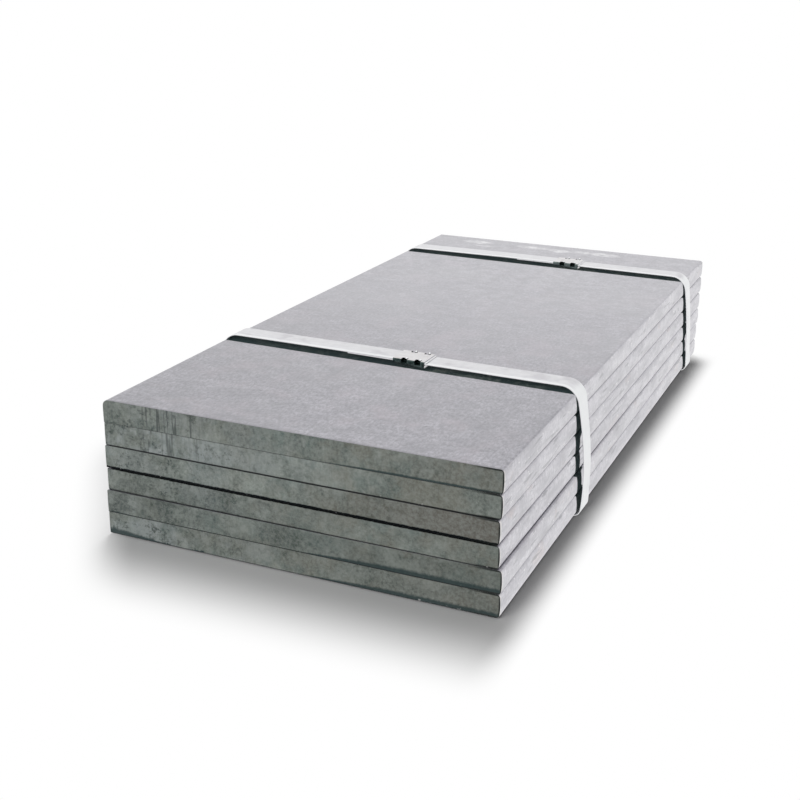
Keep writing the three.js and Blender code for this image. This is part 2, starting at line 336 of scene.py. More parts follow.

# %% [markdown]
# ## The rolled skin
#
# Rolling leaves a thin grey skin on the faces, cloudy, mottled and a little scuffed. It has
# no pattern that repeats, so it is mixed from the broadest clouds to the finest grain, each
# one a noise with its own scale. It isn't even either: it is darker along the front edge,
# the left is duller, and the far end is painted lighter, as a painted sheen where the top
# is seen at a low angle, with broad dull blots.

# %% Mix the rolled skin
def make_skin(recipe, moved):
    """The rolled skin: broad clouds, mottling, a fine grain, faint tints, dark specks."""
    clouds = recipe.noise(moved, 7, 4, 0.6).rise(0.32, 0.68)
    mottling = recipe.noise(moved, 48, 4, 0.65, (0.8, 0.7, 1)).rise(0.3, 0.7)
    grain = recipe.noise(moved, 320, 4, 0.8, (1, 0.5, 1)).rise(0.34, 0.66)
    streaks = recipe.noise(moved, 70, 5, 0.8, (0.6, 1, 1)).rise(0.36, 0.64)
    skin = recipe.mix(clouds, (0.275, 0.27, 0.31), (0.44, 0.43, 0.48))
    skin = recipe.mix(0.6 * mottling, skin, (0.575, 0.557, 0.615))
    skin = recipe.mix(0.42 * streaks, skin, (0.25, 0.245, 0.276))
    skin = recipe.mix(0.7 * grain, skin, (0.205, 0.201, 0.225))
    warm = recipe.noise(moved + recipe.join(4.1, 2.3, 0), 16, 4, 0.65).rise(0.48, 0.68)
    skin = recipe.mix(0.4 * warm, skin, (0.43, 0.38, 0.425))
    scuffs = recipe.noise(moved + recipe.join(1.3, 6.2, 0), 34, 4, 0.7, (0.35, 1, 1))
    skin = recipe.mix(0.3 * scuffs.rise(0.56, 0.7), skin, (0.25, 0.252, 0.265))
    specks = recipe.noise(moved, 120, 2, 0.5).rise(0.68, 0.76)
    return recipe.mix(0.5 * specks, skin, (0.15, 0.15, 0.16)), clouds, mottling, grain


def age_skin(recipe, skin, moved, x, y, facing_z):
    """Where the skin differs from one end and side of the plate to the other."""
    lip = (y + PLATE_LENGTH / 2).rise(3.5 * MM, 1 * MM) * facing_z.rise(0.5, 0.8)
    skin = recipe.mix(0.35 * lip, skin, (0.15, 0.15, 0.16))
    skin = recipe.mix(0.09 * x.rise(0.02, -0.18), skin, (0.05, 0.05, 0.055))
    # A painted sheen: the skin is lighter towards the far end, where the top is seen at a low
    # angle; the dull blots lie there too.
    far_sheen = y.rise(-0.4, 0.3)
    skin = recipe.mix(0.42 * far_sheen, skin, (0.62, 0.61, 0.66))
    blots = recipe.noise(moved + recipe.join(7.1, 3.3, 0), 55, 4, 0.85).rise(0.42, 0.58)
    return recipe.mix(0.5 * far_sheen * blots, skin, (0.30, 0.295, 0.325))


print("the skin is mixed from clouds, mottling, streaks, grain, tints, scuffs and specks")

# %% [markdown]
# ## The long edges
#
# The long edges were rolled too. They are painted brighter than the faces, as the lit side,
# and drawn lengthways, with painted glints, a little rust and seams of painted shade where
# two plates meet. Stretching a noise along the bar gives the drawn look.

# %% Mix the long edges
# How dark each plate's seams of painted shade are.
SEAM_DARKNESS = (0.3, 0.4, 0.5, 0.75, 0.35, 0.2)  # from the top plate down


def make_edge(recipe, moved, height, front_distance, number):
    """Long edges: painted lit, drawn lengthways, painted glints, thin uneven seams of painted
    shade.
    """
    drawn = recipe.noise(moved, 46, 4, 0.65, (1, 0.35, 1.6)).rise(0.32, 0.68)
    # The edge colours are lighter than the skin's: painted light for the lit side.
    edge = recipe.mix(drawn, (0.50, 0.49, 0.532), (0.78, 0.765, 0.81))
    patches = recipe.noise(moved + recipe.join(3.3, 0, 1.1), 28, 4, 0.7, (1, 0.5, 1.3))
    edge = recipe.mix(0.4 * patches.rise(0.56, 0.72), edge, (0.36, 0.355, 0.40))
    rust = recipe.noise(moved + recipe.join(0, 2.9, 7.7), 42, 3, 0.6, (1, 0.5, 1))
    edge = recipe.mix(0.4 * rust.rise(0.6, 0.72), edge, (0.68, 0.56, 0.53))
    grain = recipe.noise(moved, 240, 4, 0.8).rise(0.38, 0.62)
    edge = recipe.mix(0.45 * grain, edge, (0.40, 0.395, 0.43))
    hatch = recipe.noise(moved, 300, 3, 0.7, (1, 1, 0.2)).rise(0.4, 0.64)
    edge = recipe.mix(0.3 * hatch, edge, (0.40, 0.395, 0.43))
    # Painted glints: sparse near-white specks where the edge would catch the light.
    painted_glint = recipe.noise(moved, 190, 2, 0.6, (1, 0.6, 1)).rise(0.66, 0.72)
    edge = recipe.mix(0.7 * painted_glint, edge, (0.92, 0.91, 0.92))
    ragged = recipe.noise(moved, 130, 3, 0.7)
    scratch = recipe.noise(moved + recipe.join(0.9, 5, 2), 150, 3, 0.6, (1, 0.12, 1))
    edge = recipe.mix(0.6 * scratch.rise(0.6, 0.66), edge, (0.25, 0.25, 0.275))
    # The seams are painted shade: darker where two plates meet, fading towards the far end.
    gap = (0.3 + 1.4 * ragged) * MM
    seam = (height / gap).rise(1.3, 0.6) + 0.5 * (
        (PLATE_THICKNESS - height) / gap).rise(0.9, 0.5)
    seam = seam.least(1) * per_plate(recipe, number, SEAM_DARKNESS)
    seam = seam * (0.4 + 0.6 * front_distance.rise(300 * MM, 50 * MM))
    edge = recipe.mix(0.9 * seam, edge, (0.06, 0.06, 0.07))
    # Painted highlight: a bright cream strip where the long edge begins, as the cut corner
    # catches the light.
    painted_corner_highlight = front_distance.rise(4.5 * MM, 1.5 * MM) * ragged.rise(0.3, 0.6)
    return recipe.mix(0.6 * painted_corner_highlight, edge, (0.84, 0.82, 0.77))


print("seams are darkest beside plate", 1 + SEAM_DARKNESS.index(max(SEAM_DARKNESS)))

# %% [markdown]
# ## The cut ends
#
# The ends were cut to length, so they have no skin: they are darker and greenish, partly as
# bare cut metal and partly as painted shade. They are stained and mottled, with upright marks
# from the blade, a dark rim that is partly grime and partly painted shade, black lines of
# painted shade at the seams, and dirt that has spread up from the lower edges. The stains
# are noise again. How much of each kind a plate has is a list, because one amount for all
# six would look like one plate printed six times.

# %% List what differs between the cut ends
# All lists run from the top plate down. The black lines of painted shade at the seams, along
# the lower and the upper edge of an end: how high they are, in millimetres, and how dark.
LINE_BELOW, BELOW_DARKNESS = (0.45, 0.85, 2.3, 0.4, 0.9, 0.7), (0.5, 0.75, 1.0, 0.5, 0.85, 0.9)
LINE_ABOVE, ABOVE_DARKNESS = (0.01, 0.1, 0.1, 1.7, 0.1, 0.3), (0, 0.8, 0.6, 1, 0.12, 0.7)

# How far dirt has spread up from the lower edge, at the left and at the right.
LEFT_SPREAD, RIGHT_SPREAD = (0, 0.05, 0.2, 0.12, 0.2, 1), (0.35, 0.1, 0.15, 0.05, 0.85, 0.75)

# How sooty, how pale, how streaked and how scratched the left part is, how brown the right
# part, and how dull the whole end.
LEFT_SOOT, LEFT_PALE = (0.2, 0, 0.4, 0.75, 1, 0.1), (0.5, 0.9, 0.4, 0.45, 0.3, 0.7)
LEFT_STREAKS, LEFT_SCRATCHES = (1, 0.9, 0.4, 0.15, 0.2, 0.4), (1, 0.8, 0, 0, 0, 0)
RIGHT_GRIME = (0.4, 0.15, 1, 0.15, 0.3, 0.5)
END_DULLNESS = (0.02, 0, 0, 0.07, 0.16, 0)
print("highest black line:", max(LINE_BELOW + LINE_ABOVE), "mm")


# %% Mix the stains of the cut ends
def stain_end(recipe, moved, x, number):
    """A cut end from the broadest stains to the finest marks; gives the blade marks too."""
    leftward = x.rise(0.12, -0.2)
    stain = recipe.noise(moved, 16, 5, 0.75).rise(0.38, 0.62)
    mottle = recipe.noise(moved + recipe.join(1.7, 0, 4.4), 62, 5, 0.8).rise(0.38, 0.62)
    # The end's dark greenish tones are partly the bare cut and partly painted shade on this
    # side.
    end = recipe.mix(0.45 * stain + 0.55 * mottle, (0.06, 0.083, 0.07), (0.335, 0.37, 0.338))
    brown = recipe.noise(moved + recipe.join(5.1, 0, 2.2), 15, 4, 0.65).rise(0.42, 0.6)
    end = recipe.mix(brown * (0.55 - 0.35 * leftward), end, (0.18, 0.168, 0.128))
    teal = recipe.noise(moved + recipe.join(2.7, 0, 8.4), 26, 4, 0.7).rise(0.5, 0.66)
    end = recipe.mix(0.5 * teal, end, (0.072, 0.125, 0.118))
    grime = per_plate(recipe, number, RIGHT_GRIME) * x.rise(-0.02, 0.2)
    end = recipe.mix(grime, end, (0.125, 0.118, 0.10))
    pale = recipe.noise(moved + recipe.join(8.8, 0, 0.6), 20, 4, 0.65).rise(0.42, 0.62)
    paler = per_plate(recipe, number, LEFT_PALE) * leftward
    end = recipe.mix(paler * pale, end, (0.38, 0.415, 0.42))
    soot = recipe.noise(moved + recipe.join(6.6, 0, 3.9), 30, 6, 0.85).rise(0.46, 0.58)
    sooty = per_plate(recipe, number, LEFT_SOOT) * x.rise(0.1, -0.06)
    end = recipe.mix(0.75 * soot * sooty, end, (0.05, 0.066, 0.06))
    blade = recipe.noise(moved, 260, 3, 0.7, (1, 1, 0.06)).rise(0.36, 0.64)
    streaky = per_plate(recipe, number, LEFT_STREAKS) * leftward
    end = recipe.mix(blade * (0.12 + 0.26 * streaky), end, (0.11, 0.132, 0.124))
    grit = recipe.noise(moved, 260, 3, 0.75).rise(0.32, 0.68)
    end = recipe.mix(0.45 * grit, end, (0.33, 0.353, 0.332))
    flecks = recipe.noise(moved + recipe.join(2.2, 0, 9.3), 150, 5, 0.85)
    rough = (0.2 + 0.8 * leftward) * (1 - 0.8 * stain)
    end = recipe.mix(0.85 * flecks.rise(0.52, 0.6) * rough, end, (0.045, 0.06, 0.055))
    end = recipe.mix(0.35 * flecks.rise(0.42, 0.34) * rough, end, (0.42, 0.45, 0.43))
    end = recipe.mix(per_plate(recipe, number, END_DULLNESS), end, (0.04, 0.056, 0.05))
    scratch = recipe.noise(moved, 75, 3, 0.6, (1, 1, 0.05)).near(0.5, 0.008, 0.02)
    some = x.near(-0.14, 0.02, 0.03) * per_plate(recipe, number, LEFT_SCRATCHES)
    return recipe.mix(0.7 * scratch * some, end, (0.05, 0.06, 0.058)), blade


print("an end is stained brown and teal, with soot, pale patches, blade marks and flecks")


# %% Add the dirt and the black lines of the cut ends
def rim_depth(across, height):
    """How far inside the rounded outline of a plate's end a point is."""
    past_x = abs(across) - (PLATE_WIDTH / 2 - EDGE_RADIUS)
    past_z = abs(height - PLATE_THICKNESS / 2) - (PLATE_THICKNESS / 2 - EDGE_RADIUS)
    corner = (past_x.most(0) ** 2 + past_z.most(0) ** 2) ** 0.5
    return EDGE_RADIUS - corner - past_x.most(past_z).least(0)


def edge_end(recipe, end, moved, x, height, across, number):
    """Dirt and painted shade along a cut end's edges; gives the black lines too."""
    ragged = recipe.noise(moved, 260, 4, 0.8)
    runs = recipe.noise(moved, 60, 5, 0.85, (1, 1, 0.35))
    left = per_plate(recipe, number, LEFT_SPREAD) * x.rise(0.06, -0.16)
    right = per_plate(recipe, number, RIGHT_SPREAD) * x.rise(-0.03, 0.12)
    corner = 7 * x.rise(-0.14, -0.22)
    reach = MM * (8 * right + left * (0.7 + corner + 5 * runs.rise(0.5, 0.7))) + 0.2 * MM
    dirt = (height / reach + 0.6 * (ragged - 0.5)).rise(1.1, 0.5)
    spread = left.most(right).rise(0.02, 0.3)
    end = recipe.mix(0.9 * dirt * spread, end, (0.014, 0.034, 0.036))

    # Black lines of painted shade along the seams, at the lower and the upper edge.
    swing = (0.3 + 1.4 * ragged) * MM
    below = height / (swing * per_plate(recipe, number, LINE_BELOW))
    above = (PLATE_THICKNESS - height) / (swing * per_plate(recipe, number, LINE_ABOVE))
    line = (below.rise(1.25, 0.8) * per_plate(recipe, number, BELOW_DARKNESS)).most(
        above.rise(1.25, 0.8) * per_plate(recipe, number, ABOVE_DARKNESS))
    end = recipe.mix(line, end, (0.005, 0.007, 0.008))
    # A dark rim round the right end's rounded corners: partly grime, partly painted shade where
    # the corner turns from the light.
    rim = rim_depth(across, height).rise(2.2 * MM, 1.1 * MM) * x.rise(0.18, 0.21)
    end = recipe.mix(rim, end, (0.012, 0.016, 0.014))
    crumbs = (height / (1.6 * MM)).near(0.8, 0.4, 0.4) * recipe.noise(
        moved, 210, 2, 0.6, (1, 1, 0.5)).rise(0.69, 0.75)
    return recipe.mix(0.6 * crumbs, end, (0.5, 0.51, 0.5)), line


print("a cut end's rounded outline has a radius of", EDGE_RADIUS)

# %% [markdown]
# ## Old chalk, and painted shade under the straps
#
# Chalk that was rubbed off the top at its far end left faint smudges. They have no shape of
# their own, so each is an oval whose edge is frayed by noise. Under each strap the skin is
# painted nearly black, as painted shade, with lighter painted reflections. Down the sides,
# where the strap stands furthest off, only the part next to its near edge is, since light
# gets in under the rest.

# %% Rub off the chalk
# Each smudge: its middle, half its length and half its width, in millimetres.
SMUDGES = (
    (-143, 441, 20, 11), (-120, 418, 17, 9), (-45, 441, 30, 11), (-2, 436, 22, 11),
    (34, 441, 20, 10), (68, 441, 28, 11))


def rubbed_chalk(recipe, x, y, moved):
    """Faint pale smudges with no shape of their own."""
    total = 0
    broken = recipe.noise(moved, 90, 4, 0.7, (0.6, 1, 1)).rise(0.4, 0.6)
    frayed = 5 * (recipe.noise(moved + recipe.join(0, 4.4, 1.2), 34, 4, 0.7, (0.6, 1, 1)) - 0.5)
    for middle_x, middle_y, long, wide in SMUDGES:
        away_x = (x - (middle_x * MM + stack_shift.x)) / (long * MM)
        away_y = (y - (middle_y * MM + stack_shift.y)) / (wide * MM)
        total = (away_x ** 2 + away_y ** 2 + frayed).rise(1.5, 0).most(total)
    return total * (0.3 + 0.7 * broken)


print("smudges of chalk:", len(SMUDGES))


# %% Find the painted shade under the straps
def find_strap_shade(recipe, place, moved, long_edge):
    """How much painted shade a point has under the straps, and its colour there."""
    x, _, z = place.parts()
    under, streak, by_seal = 0, 0, 0
    for strap in STRAPS.values():
        past = beside_strap(strap, place)
        ragged = 1.2 * MM * (recipe.noise(moved, 70, 3, 0.7) - 0.5)
        low, high = strap["dry"]
        # Down the sides, between two heights, the painted shade stops short of the strap's far
        # part, where light gets in under it.
        dry = long_edge * z.rise(low - 4 * MM, low + 4 * MM) * (
            z.rise(high + 5 * MM, high - 5 * MM))
        start = 0.2 * MM + 3 * MM * long_edge * z.rise(150 * MM, 130 * MM)
        end = STRAP_WIDTH - 1 * MM - 11 * MM * dry
        band = (past - start + ragged).rise(0, 1 * MM) * (past - end).rise(3 * MM, 0)
        under = band.most(under)
        streak = past.near(8 * MM, 1 * MM, 3 * MM).most(streak)
        along, _ = beside_seal(strap, place)
        by_seal = (abs(along).rise(38 * MM, 20 * MM) * band).most(by_seal)
    # Lighter painted reflections in the painted shade: patches, more near the middle, a line 8
    # mm in, and more by the seals.
    painted_reflections = recipe.noise(moved, 50, 4, 0.7).rise(0.42, 0.64) * (
        0.4 + 0.5 * x.near(0.1, 0.05, 0.05) + 0.1 * streak + 0.3 * by_seal)
    return under, recipe.mix(painted_reflections, (0.07, 0.108, 0.112), (0.27, 0.32, 0.305))


print("oil lies under", len(STRAPS), "straps")

# %% [markdown]
# ## The plates' finish
#
# One finish serves all six plates. It asks which way the surface faces to tell the skin,
# the long edges and the cut ends apart, and moves every pattern by the plate's number, so
# that no two match. A film of rolling oil makes the skin dull from above and brighter in a
# low view, as a coat on the shader does.

# %% Put the plates' finish together
def make_plate_finish():
    """Skin, long edges and cut ends by the way a point faces, with chalk and painted shade."""
    material, recipe, shader = new_finish("rolled_steel")
    place = recipe.node("ShaderNodeTexCoord", output="Object")
    facing = recipe.node("ShaderNodeTexCoord", output="Normal")
    number, across = [
        recipe.node("ShaderNodeAttribute", {"attribute_name": name}, output="Fac")
        for name in ("plate_number", "across")]
    x, y, z = place.parts()
    facing_x, facing_y, facing_z = facing.parts()
    cut_end = abs(facing_y).rise(0.45, 0.8)
    long_edge = abs(facing_x).rise(0.5, 0.85)
    moved = place + recipe.join(number * 3.7, number * 1.9, number * 0.7)
    height = z - (top_level + SEAT_GAP) + number * (PLATE_THICKNESS + SEAT_GAP)

    # Painted shade: between two plates it is nearly black, but the outermost few millimetres
    # are left out, as they see the light.
    inside = abs(facing_z).rise(0.5, 0.8) * z.rise(top_level - 2 * MM, top_level - 4 * MM)
    inside = inside * abs(across).rise(PLATE_WIDTH / 2 - 4 * MM, PLATE_WIDTH / 2 - 8 * MM)
    inside = inside * per_plate(recipe, number, ABOVE_DARKNESS)

    skin, clouds, mottling, grain = make_skin(recipe, moved)
    skin = age_skin(recipe, skin, moved, x, y, facing_z)
    on_top = facing_z.rise(0.5, 0.8) * z.rise(top_level - 1 * MM, top_level - 0.5 * MM)
    chalk = rubbed_chalk(recipe, x, y, moved) * on_top
    skin = recipe.mix(0.8 * chalk, skin, (0.92, 0.92, 0.93))
    # Painted shade between the plates.
    skin = recipe.mix(inside, skin, (0.02, 0.02, 0.02))
    edge = make_edge(recipe, moved, height, y + PLATE_LENGTH / 2, number)
    end, blade = stain_end(recipe, moved, x, number)
    end, line = edge_end(recipe, end, moved, x, height, across, number)
    # The long edges take the lighter colours and the cut ends the darker: partly their own
    # tone, partly painted light and painted shade.
    colour = recipe.mix(cut_end, recipe.mix(long_edge, skin, edge), end)

    # The black lines of painted seam shade are pure metal, because a plain black would still
    # shine a little.
    recipe.feed(shader.inputs["Base Color"], colour)
    recipe.feed(shader.inputs["Metallic"], (0.9 - 0.5 * cut_end).most(line ** 3))
    recipe.feed(shader.inputs["Roughness"], (
        0.36 + 0.12 * clouds + 0.1 * grain + 0.12 * cut_end + 0.2 * chalk))
    recipe.feed(shader.inputs["Coat Weight"], (1 - cut_end) * (1 - inside))
    shader.inputs["Coat Roughness"].default_value = 0.35
    shader.inputs["Coat IOR"].default_value = 1.5
    roughen(recipe, shader, 0.5 * grain + 0.8 * mottling + 0.6 * blade * cut_end,
            strength=0.5, depth=0.06 * MM)
    # Painted shade under the straps: a nearly black matt cover, with lighter painted
    # reflections.
    under_strap_shade, under_strap_colour = find_strap_shade(recipe, place, moved, long_edge)
    paint_shade_over(recipe, shader, under_strap_shade, under_strap_colour, shine=0.1)
    return material


plate_finish = make_plate_finish()
print("plate finish:", len(plate_finish.node_tree.nodes), "nodes")

# %% [markdown]
# ## Finish of the straps and seals
#
# Both are zinc-coated steel strip. The straps are nearly white where they face the light,
# with a faint pattern of crystals and fine lines along them; their near edges and the faces
# that turn sideways are painted near white as a highlight. The seals are the same metal,
# crumpled by the tool. Their folded walls are painted dark as shade, the notches and the
# hidden gaps are painted black as shade, and the turned-up tabs and end faces are painted
# near white as a highlight. The tool's marks sit at fixed places, so they are measured from
# the seal's middle, and one function makes both finishes.

# %% Measure from the seals
LIP = 16 * MM  # from a seal's middle to where its sleeve opens into a bright lip


def from_seal(place):
    """Where a point is from the nearer seal: which one, along, across and above its top."""
    _, y, z = place.parts()
    rear = y.rise(-0.01, 0.01)
    along, off = [
        (1 - rear) * front_one + rear * rear_one for front_one, rear_one in zip(
            *[beside_seal(strap, place) for strap in STRAPS.values()])]
    lift = (1 - rear) * STRAPS["front"]["lift"] + rear * STRAPS["rear"]["lift"]
    above = z - lift - (
        top_level + 2 * STRAP_THICKNESS + SEAT_GAP + SEAL_CLEARANCE + SEAL_THICKNESS)
    return rear, along, off, above


def in_notches(along, off, above):
    """1 on the faces of the notches, from a little above the seal down to its wall's foot."""
    from_notch = abs(abs(along - NOTCH_SHIFT) - NOTCH_PITCH / 2)
    return (
        from_notch.rise(NOTCH_LENGTH / 2 + 0.4 * MM, NOTCH_LENGTH / 2)
        * off.near(15 * MM, 3.5 * MM, 0.2 * MM)
        * above.rise(0.5 * MM, 0.3 * MM) * above.rise(-4.9 * MM, -4.7 * MM))


print("seals sit at x =", [round(stack_shift.x + s["seal"], 4) for s in STRAPS.values()])


# %% Make the zinc finishes
def make_zinc_finish(name, light, dull, is_seal=False):
    """Bright zinc with a strap's or seal's marks, painted highlights and painted shade where
    hidden.
    """
    material, recipe, shader = new_finish(name)
    place = recipe.node("ShaderNodeTexCoord", output="Object")
    facing_x, facing_y, _ = recipe.node("ShaderNodeTexCoord", output="Normal").parts()
    crystals = recipe.noise(place, 140, 2, 0.5).rise(0.3, 0.7)
    lines = recipe.noise(place, 900, 2, 0.6, (0.05, 1, 0.05)).rise(0.3, 0.7)
    rubbed = recipe.noise(place, 60 if is_seal else 28, 3, 0.6).rise(0.52, 0.72)
    colour = recipe.mix(crystals, light, tuple(0.93 * c for c in light))
    colour = recipe.mix(0.25 * lines, colour, dull)
    colour = recipe.mix(0.5 * rubbed, colour, dull)

    end_face = abs(facing_x).rise(0.4, 0.8)
    rear, along, off, above = from_seal(place)
    # On a seal the walls' dark mottled colour is painted shade, the tabs and end faces are
    # painted highlights, and the hollow up to the lip is painted shade.
    if is_seal:  # dirty walls, bright tabs and a dark hollow up to the lip
        dirt = recipe.noise(place, 120, 3, 0.6).rise(0.4, 0.62)
        wall_shade = recipe.mix(dirt, (0.022, 0.04, 0.038), (0.12, 0.165, 0.155))
        wall_shade = recipe.mix(0.6 * rear, wall_shade, (0.21, 0.25, 0.24))
        colour = recipe.mix(abs(facing_y).rise(0.25, 0.6), colour, wall_shade)
        painted_highlight = above.rise(0.5 * MM, 0.8 * MM).most(end_face)
        hidden = off.rise(STRAP_WIDTH / 2 + 0.6 * MM, STRAP_WIDTH / 2 + 0.2 * MM) * (
            above.rise(-0.5 * MM, -0.9 * MM)) * (1 - end_face) * (
            along.rise(LIP + 0.5 * MM, LIP - 0.5 * MM))
    # On a strap the near edges and the faces that turn sideways are painted highlights, and
    # where the sleeve covers the strap it is painted shade.
    else:  # bright slit edges, and dark where the sleeve covers the strap
        edges = [beside_strap(strap, place).near(2.5 * MM, 2 * MM, 3 * MM)
                 for strap in STRAPS.values()]
        painted_highlight = (0.75 * end_face).most(0.7 * edges[0].most(edges[1]))
        reach = SEAL_LENGTH / 2 - 1 * MM
        hidden = place.parts()[2].rise(top_level + 1 * MM, top_level + 2 * MM) * (
            abs(along).rise(reach, reach - 1 * MM))
    recipe.feed(
        shader.inputs["Base Color"], recipe.mix(painted_highlight, colour, (0.94, 0.955, 0.96)))
    shader.inputs["Metallic"].default_value = 0.85
    recipe.feed(shader.inputs["Roughness"], 0.32 + 0.15 * rubbed)
    roughen(recipe, shader, lines + crystals, strength=0.4, depth=0.04 * MM)

    # The black in the notches and in the hidden parts is painted shade.
    black = recipe.mix(
        above.rise(-3.4 * MM, -1.8 * MM), (0.03, 0.05, 0.047), (0.003, 0.005, 0.005))
    paint_shade_over(recipe, shader, in_notches(along, off, above).most(hidden), black, shine=0)
    return material


strap_finish = make_zinc_finish("strap_zinc", (0.77, 0.77, 0.79), (0.57, 0.555, 0.585))
seal_finish = make_zinc_finish(
    "seal_zinc", (0.78, 0.77, 0.78), (0.50, 0.46, 0.46), is_seal=True)
print("zinc finishes:", strap_finish.name, seal_finish.name)

# %% [markdown]
# ## A rounded bar as a rule
#
# A plate and a strap are the same thing at two sizes: a long bar with a rounded oblong
# section. So one rule shapes both. It starts from a cube whose faces are cut into a grid
# and moves each grid point to its place on the bar. The steps next to a corner are spent
# on the corner's curve, the rest on the flat, and the end faces follow the same outline
# at a smaller scale, which keeps them flat and closed.

# %% Start and end a shape rule
def new_shape(name, sizes):
    """A geometry node tree with a named input for each size; gives its recipe and wires."""
    tree = bpy.data.node_groups.new(name, "GeometryNodeTree")
    tree.interface.new_socket(
        name="Geometry", in_out="INPUT", socket_type="NodeSocketGeometry")
    tree.interface.new_socket(
        name="Geometry", in_out="OUTPUT", socket_type="NodeSocketGeometry")
    for size, value in sizes.items():
        socket = tree.interface.new_socket(
            name=size, in_out="INPUT", socket_type="NodeSocketFloat")
        socket.default_value = value
    recipe = Recipe(tree)
    given = tree.nodes.new("NodeGroupInput")
    return recipe, {s.name: Wire(recipe, s) for s in given.outputs if s.name}


def finish_shape(recipe, mesh, material):
    """End a tree: smooth faces, real geometry and the finish."""
    smooth = recipe.node("GeometryNodeSetShadeSmooth", {}, {0: mesh})
    real = recipe.node("GeometryNodeRealizeInstances", {}, {0: smooth})
    dressed = recipe.node(
        "GeometryNodeSetMaterial", {}, {"Geometry": real, "Material": material})
    recipe.node("NodeGroupOutput", {}, {0: dressed})


def grid_cube(recipe, steps):
    """A cube from -1 to 1 in this many steps each way, and where its points are."""
    cube = recipe.node(
        "GeometryNodeMeshCube", {},
        {"Size": (2, 2, 2), "Vertices X": steps[0] + 1, "Vertices Y": steps[1] + 1,
         "Vertices Z": steps[2] + 1})
    return cube, recipe.node("GeometryNodeInputPosition").parts()


print("a shape rule starts from a cube cut into a grid")

# %% Write the rule for a rounded section
ARC_STEPS = 3  # grid steps on each half of a rounded corner


def flat_run(step, steps, curve_steps, length, margin):
    """How far along a flat a step lies: even steps, then one narrow one at its end."""
    even = steps - curve_steps - 1
    return (step / even).within(0, 1) * (length - margin) + (step - even).within(0, 1) * margin


def rounded_section(u, v, steps, half_width, half_height, radius, crown, margin):
    """Points of a rounded oblong for grid points u and v, which run from -1 to 1.

    The radius is a pair: one places the corner's centre, the other draws its arc.
    """
    ring = abs(u).most(abs(v)).most(0.0001)  # never 0, because it divides
    step_u, step_v = abs(u) / ring * steps[0], abs(v) / ring * steps[1]
    turn_u = (step_u - (steps[0] - ARC_STEPS)).within(0, ARC_STEPS)
    turn_v = (step_v - (steps[1] - ARC_STEPS)).within(0, ARC_STEPS)
    angle = (turn_u - turn_v + ARC_STEPS) * (math.pi / 4 / ARC_STEPS)
    flat_x = flat_run(step_u, steps[0], ARC_STEPS, half_width - crown - radius[0], margin)
    flat_z = flat_run(step_v, steps[1], ARC_STEPS, half_height - radius[0], margin)
    z = flat_z + radius[1] * angle.cos()
    swell = crown * (1 - (z / half_height) ** 2) * angle.sin()
    x = flat_x + radius[1] * angle.sin() + swell
    return x * u.sign() * ring, z * v.sign() * ring


print("steps on each rounded corner:", 2 * ARC_STEPS)

# %% [markdown]
# ## The plates
#
# Such bars are rolled between four rolls, which leaves rounded corners and a slight bulge
# on the long edges, and then cut to length, which leaves sharper, slightly ragged end
# corners. A box with a bevel would give the outline but not the ragged corner or the
# bulge, so the plate is a shape rule with named sizes. The same tree makes all six, with
# another seed each.

# %% Write the plate's outline
PLATE_STEPS = (110, 64, 16)  # across, along and up
END_STEPS = 3  # grid steps on the rounding of the cut end
DROOP_LENGTH = 160 * MM  # how much of a front end may hang down
DRESSED_LENGTH = 250 * MM  # how far back from its front a corner may be ground away


def plate_length_run(recipe, size, u, w, v, shift):
    """Place along the plate, and how far its ragged end corner draws the outline in."""
    half_steps = PLATE_STEPS[1] // 2
    step = abs(w) * half_steps
    turn = (step - (half_steps - END_STEPS)).within(0, END_STEPS) * (math.pi / 2 / END_STEPS)
    ragged = recipe.noise(recipe.join(u, v, w.sign()) + shift, 14, 4, 0.7, (1, 0.1, 1))
    bevel = size["End bevel"] * (0.4 + 1.2 * ragged)
    run = flat_run(step, half_steps, END_STEPS, size["Length"] / 2 - bevel, 4 * MM)
    return (run + bevel * turn.sin()) * w.sign(), bevel * (1 - turn.cos())


def plate_section(size, u, v, y, inset):
    """Place across and up: the left edge has its own radius, crown and ground corner."""
    on_right = u.rise(-0.01, 0.01)
    radius, crown = [
        size["Left edge " + kind] + on_right * (
            size["Right edge " + kind] - size["Left edge " + kind])
        for kind in ("radius", "crown")]
    dressed = (1 - (y + size["Length"] / 2) / DRESSED_LENGTH).within(0, 1)
    radius = radius + (1 - on_right) * v.rise(-0.01, 0.01) * size["Corner dressing"] * dressed
    half_steps = (PLATE_STEPS[0] // 2, PLATE_STEPS[2] // 2)
    return rounded_section(
        u, v, half_steps, size["Width"] / 2, size["Thickness"] / 2,
        (radius, radius - inset), crown, 1 * MM)


print("a plate's grid:", PLATE_STEPS)


